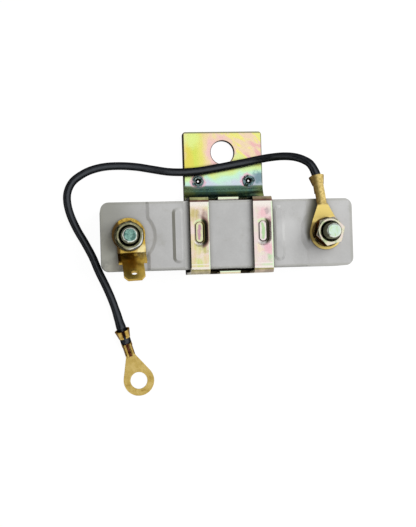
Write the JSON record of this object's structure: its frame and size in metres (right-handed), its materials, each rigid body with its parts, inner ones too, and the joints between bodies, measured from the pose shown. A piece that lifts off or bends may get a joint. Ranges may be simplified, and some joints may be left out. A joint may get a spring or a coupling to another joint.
{
  "type": "ballast resistor",
  "caption": "Ceramic-bodied ballast resistor held in a folded sheet bracket, with stud and blade terminals and a short lead that ends in a ring terminal.",
  "frame": {"origin": "on the bracket's back face, under the middle of the ceramic body", "axes": "+X along the ceramic body, towards the end where the lead is fastened; +Y towards the mounting tab; +Z out of the front face, where the studs stand"},
  "size_m": [0.0887, 0.0828, 0.0242],
  "materials": {
    "ceramic": "unglazed, matte grey",
    "cement": "rough cast cement",
    "resistance_wire": "drawn alloy wire, dull",
    "plated_steel": "yellow passivated zinc plating, iridescent",
    "brass": "bare sheet brass, lightly tarnished",
    "copper": "bare copper strands",
    "insulation": "black, satin"
  },
  "bodies": {
    "root": {"ceramic_body": "ceramic", "cement_filling": "cement", "resistance_coil": "resistance_wire", "left_coil_lug": "plated_steel", "right_coil_lug": "plated_steel", "left_stud": "plated_steel", "right_stud": "plated_steel", "bracket": "plated_steel", "blade_terminal": "brass", "left_spring_washer": "plated_steel", "left_nut": "plated_steel", "stud_ring_terminal": "brass", "right_spring_washer": "plated_steel", "right_nut": "plated_steel", "stud_end_strands": "copper", "lead_insulation": "insulation", "free_end_strands": "copper", "free_ring_terminal": "brass"}
  },
  "joints": []
}
